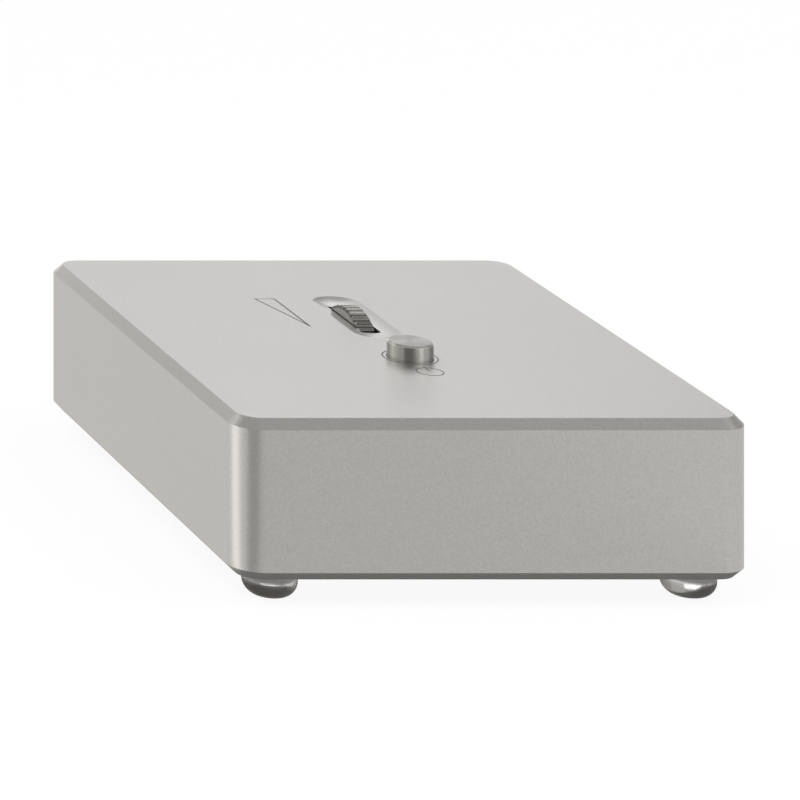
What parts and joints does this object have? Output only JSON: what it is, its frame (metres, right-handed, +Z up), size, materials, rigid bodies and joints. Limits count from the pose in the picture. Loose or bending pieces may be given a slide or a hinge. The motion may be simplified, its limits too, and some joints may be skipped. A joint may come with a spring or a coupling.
{
  "type": "phono preamplifier",
  "caption": "Flat aluminium phono preamplifier on clear feet, with a toothed volume wheel in a finger dish, a round power button and a rear socket panel.",
  "frame": {"origin": "centre of the bounding box in X and Y, on the plane the feet stand on", "axes": "+X to the right seen from the front, +Y from the front face to the rear sockets, +Z up"},
  "size_m": [0.1, 0.1248, 0.0395],
  "materials": {
    "case_aluminium": "bead-blasted and clear anodised, matt",
    "turned_steel": "turned, bright",
    "wheel_metal": "toothed rim, bright",
    "screw_steel": "plated",
    "black_steel": "blackened",
    "clear_feet": "clear, glossy",
    "board_green": "solder mask",
    "pot_metal": "plated can",
    "plunger_plastic": "moulded",
    "black_plastic": "moulded",
    "white_plastic": "moulded",
    "red_plastic": "moulded",
    "core_plastic": "moulded",
    "gold_plate": "gold plated",
    "capacitor_can": "sleeve",
    "film_case": "moulded box",
    "chip_black": "moulded"
  },
  "bodies": {
    "case": {"case_shell": "case_aluminium", "base_plate": "case_aluminium", "rear_panel": "case_aluminium", "base_screws": "screw_steel", "board_standoffs": "screw_steel", "board_screws": "screw_steel", "power_pin": "screw_steel", "headphone_nut": "screw_steel", "panel_screws": "black_steel", "foot_front_left": "clear_feet", "foot_front_right": "clear_feet", "foot_rear_left": "clear_feet", "foot_rear_right": "clear_feet", "circuit_board": "board_green", "pot_body": "pot_metal", "switch_body": "black_plastic", "input_housing": "black_plastic", "output_housing": "black_plastic", "power_socket": "black_plastic", "headphone_socket": "black_plastic", "ring_input_left": "white_plastic", "ring_output_left": "white_plastic", "ring_input_right": "red_plastic", "ring_output_right": "red_plastic", "core_input_left": "core_plastic", "core_input_right": "core_plastic", "core_output_left": "core_plastic", "core_output_right": "core_plastic", "shell_input_left": "gold_plate", "shell_input_right": "gold_plate", "shell_output_left": "gold_plate", "shell_output_right": "gold_plate", "contact_input_left": "gold_plate", "contact_input_right": "gold_plate", "contact_output_left": "gold_plate", "contact_output_right": "gold_plate", "ground_post": "gold_plate", "electrolytic_capacitors": "capacitor_can", "film_capacitors": "film_case", "amplifier_chips": "chip_black", "chip_resistors": "chip_black"},
    "wheel": {"volume_wheel": "wheel_metal", "wheel_set_screw": "black_steel", "pot_shaft": "screw_steel"},
    "button": {"power_button": "turned_steel", "switch_plunger": "plunger_plastic"},
    "ground_washer": {"ground_washer": "gold_plate"},
    "ground_nut": {"ground_nut": "gold_plate"}
  },
  "joints": [
    {"name": "volume_turn", "type": "hinge", "parent": "case", "child": "wheel", "pos_m": [0, 0.0104, 0.0236], "axis": [1, 0, 0], "range_deg": [-150, 150]},
    {"name": "power_press", "type": "slide", "parent": "case", "child": "button", "axis": [0, 0, -1], "range_m": [0, 0.002], "stiffness_N_per_m": 900, "springref_m": -0.001},
    {"name": "ground_washer_slide", "type": "slide", "parent": "case", "child": "ground_washer", "axis": [0, 1, 0], "range_m": [0, 0.0014]},
    {"name": "ground_nut_turn", "type": "hinge", "parent": "ground_washer", "child": "ground_nut", "pos_m": [0, 0.0571, 0.0206], "axis": [0, 1, 0], "range_deg": [0, 720.5]}
  ],
  "couplings": [
    {"joint": "ground_nut_turn", "follows": "ground_washer_slide", "rad_per_m": 8976}
  ]
}
